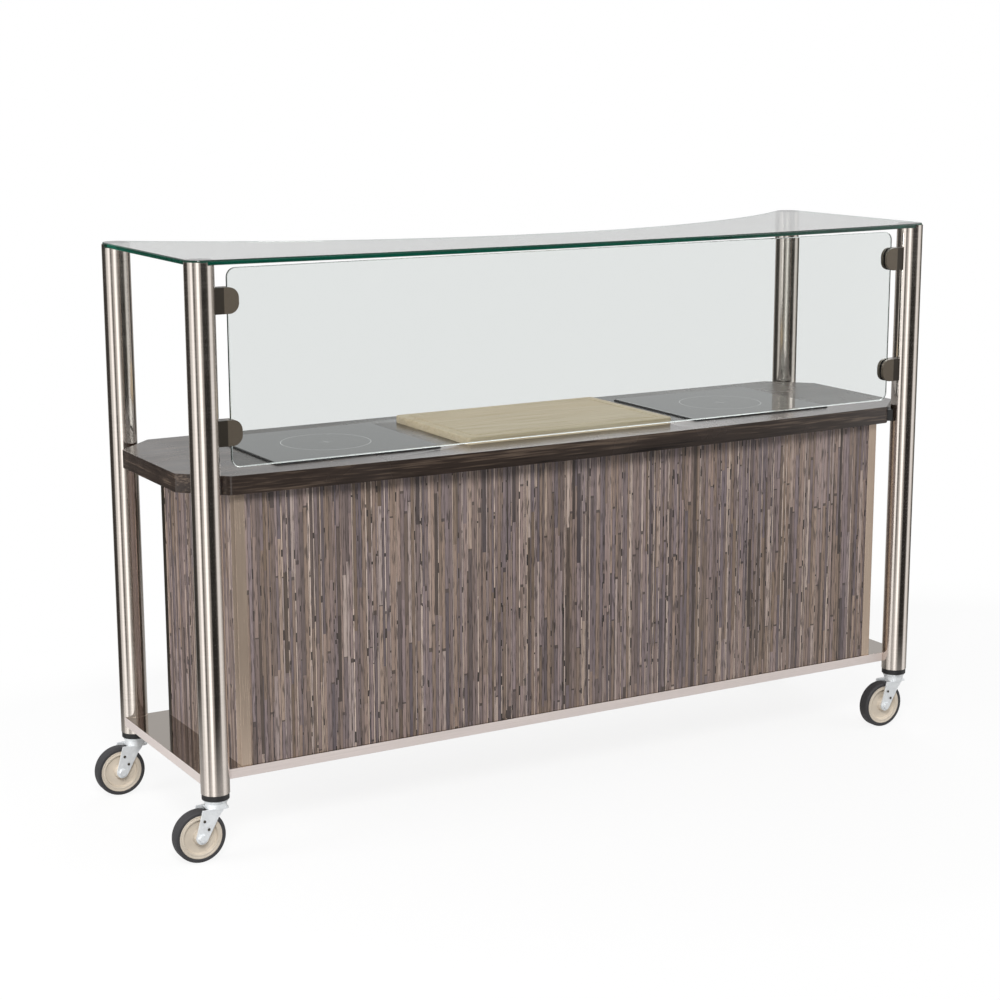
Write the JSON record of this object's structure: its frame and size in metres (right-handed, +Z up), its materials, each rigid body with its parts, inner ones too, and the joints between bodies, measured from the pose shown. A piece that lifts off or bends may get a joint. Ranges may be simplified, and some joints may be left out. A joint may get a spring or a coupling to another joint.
{
  "type": "electric cooking cart",
  "caption": "Mobile electric cooking counter on swivel casters: tube posts, hollow-backed glass canopy, front glass guard, drop-in hobs and open storage behind a strip-faced cabinet.",
  "frame": {"origin": "on the floor under the middle of the overall box, casters trailing to -X as in the picture", "axes": "+X along the cart to the guests' right as they face it, +Y from the guests' side to the operator's side, +Z up"},
  "size_m": [2.2014, 0.6552, 1.413],
  "materials": {
    "post_steel": "brushed around the tube",
    "clear_glass": "clear float glass with polished green edges",
    "dark_satin_metal": "dark satin",
    "black_rubber": "matte",
    "black_nylon": "fine matte",
    "zinc_plate": "bright zinc plate",
    "wheel_core": "smooth moulded",
    "tyre_tread": "matte",
    "counter_laminate": "glossy dark wood-grain laminate",
    "strip_facing": "vertical split strips, matte",
    "carcass_board": "plain laminate",
    "corner_trim": "satin champagne",
    "dark_trim": "satin",
    "polished_steel": "polished",
    "frame_paint": "satin",
    "hob_glass": "black glass ceramic",
    "sheet_steel": "brushed",
    "copper_coil": "wound copper",
    "circuit_board": "lacquered",
    "board_wood": "oiled",
    "red_lens": "glossy",
    "inlet_plastic": "fine matte"
  },
  "bodies": {
    "cart": {"back_edge_trims": "dark_trim", "base_shelf": "polished_steel", "canopy_glass": "clear_glass", "caster_inserts": "black_nylon", "caster_stems": "zinc_plate", "centre_divider": "carcass_board", "clamp_bodies": "dark_satin_metal", "clamp_covers": "dark_satin_metal", "clamp_gaskets": "black_rubber", "clamp_screws": "zinc_plate", "conduits": "zinc_plate", "control_cables": "black_rubber", "control_fascia": "sheet_steel", "control_units": "black_nylon", "corner_trims": "corner_trim", "counter_studs": "zinc_plate", "counter_top": "counter_laminate", "end_facings": "strip_facing", "end_panels": "carcass_board", "fascia_screws": "zinc_plate", "front_facing": "strip_facing", "front_glass": "clear_glass", "front_panel": "carcass_board", "glass_pads": "black_rubber", "hob_glasses": "hob_glass", "hob_trays": "sheet_steel", "indicator_lamps": "red_lens", "induction_coils": "copper_coil", "post_saddles": "black_nylon", "post_top_plugs": "black_nylon", "posts": "post_steel", "power_boards": "circuit_board", "power_inlet": "inlet_plastic", "shelf_pins": "zinc_plate", "shelves": "carcass_board", "terminal_box": "frame_paint", "top_frame": "frame_paint", "weld_nuts": "zinc_plate"},
    "caster_left_front": {"fork_left_front": "zinc_plate", "axle_left_front": "zinc_plate"},
    "wheel_left_front": {"wheel_core_left_front": "wheel_core", "tyre_left_front": "tyre_tread"},
    "caster_right_front": {"fork_right_front": "zinc_plate", "axle_right_front": "zinc_plate"},
    "wheel_right_front": {"wheel_core_right_front": "wheel_core", "tyre_right_front": "tyre_tread"},
    "caster_left_back": {"fork_left_back": "zinc_plate", "axle_left_back": "zinc_plate"},
    "wheel_left_back": {"wheel_core_left_back": "wheel_core", "tyre_left_back": "tyre_tread"},
    "caster_right_back": {"fork_right_back": "zinc_plate", "axle_right_back": "zinc_plate"},
    "wheel_right_back": {"wheel_core_right_back": "wheel_core", "tyre_right_back": "tyre_tread"},
    "cutting_board": {"cutting_board": "board_wood"},
    "knob_left": {"knob_left": "black_nylon"},
    "knob_right": {"knob_right": "black_nylon"},
    "switch_rocker": {"switch_rocker": "red_lens"},
    "fan_left": {"fan_rotor_left": "black_nylon"},
    "fan_right": {"fan_rotor_right": "black_nylon"}
  },
  "joints": [
    {"name": "caster_swivel_left_front", "type": "hinge", "parent": "cart", "child": "caster_left_front", "pos_m": [-0.99225, -0.24775, 0.134], "axis": [0, 0, 1], "continuous": true},
    {"name": "caster_swivel_right_front", "type": "hinge", "parent": "cart", "child": "caster_right_front", "pos_m": [1.06275, -0.24775, 0.134], "axis": [0, 0, 1], "continuous": true},
    {"name": "caster_swivel_left_back", "type": "hinge", "parent": "cart", "child": "caster_left_back", "pos_m": [-0.99225, 0.29325, 0.134], "axis": [0, 0, 1], "continuous": true},
    {"name": "caster_swivel_right_back", "type": "hinge", "parent": "cart", "child": "caster_right_back", "pos_m": [1.06275, 0.29325, 0.134], "axis": [0, 0, 1], "continuous": true},
    {"name": "wheel_roll_left_front", "type": "hinge", "parent": "caster_left_front", "child": "wheel_left_front", "pos_m": [-1.03725, -0.24775, 0.0635], "axis": [0, 1, 0], "continuous": true},
    {"name": "wheel_roll_right_front", "type": "hinge", "parent": "caster_right_front", "child": "wheel_right_front", "pos_m": [1.01775, -0.24775, 0.0635], "axis": [0, 1, 0], "continuous": true},
    {"name": "wheel_roll_left_back", "type": "hinge", "parent": "caster_left_back", "child": "wheel_left_back", "pos_m": [-1.03725, 0.29325, 0.0635], "axis": [0, 1, 0], "continuous": true},
    {"name": "wheel_roll_right_back", "type": "hinge", "parent": "caster_right_back", "child": "wheel_right_back", "pos_m": [1.01775, 0.29325, 0.0635], "axis": [0, 1, 0], "continuous": true},
    {"name": "knob_turn_left", "type": "hinge", "parent": "cart", "child": "knob_left", "pos_m": [-0.41475, 0.23975, 0.795], "axis": [0, -1, 0], "range_deg": [0, 270]},
    {"name": "knob_turn_right", "type": "hinge", "parent": "cart", "child": "knob_right", "pos_m": [0.48525, 0.23975, 0.795], "axis": [0, -1, 0], "range_deg": [0, 270]},
    {"name": "switch_tilt", "type": "hinge", "parent": "cart", "child": "switch_rocker", "pos_m": [0.17525, 0.23525, 0.795], "axis": [1, 0, 0], "range_deg": [0, 16]},
    {"name": "fan_spin_left", "type": "hinge", "parent": "cart", "child": "fan_left", "pos_m": [-0.66975, 0.02275, 0.866], "axis": [0, 0, 1], "continuous": true},
    {"name": "fan_spin_right", "type": "hinge", "parent": "cart", "child": "fan_right", "pos_m": [0.53025, 0.02275, 0.866], "axis": [0, 0, 1], "continuous": true},
    {"name": "board_lift", "type": "slide", "parent": "cart", "child": "cutting_board", "axis": [0, 0, 1], "range_m": [0, 0.15]}
  ]
}
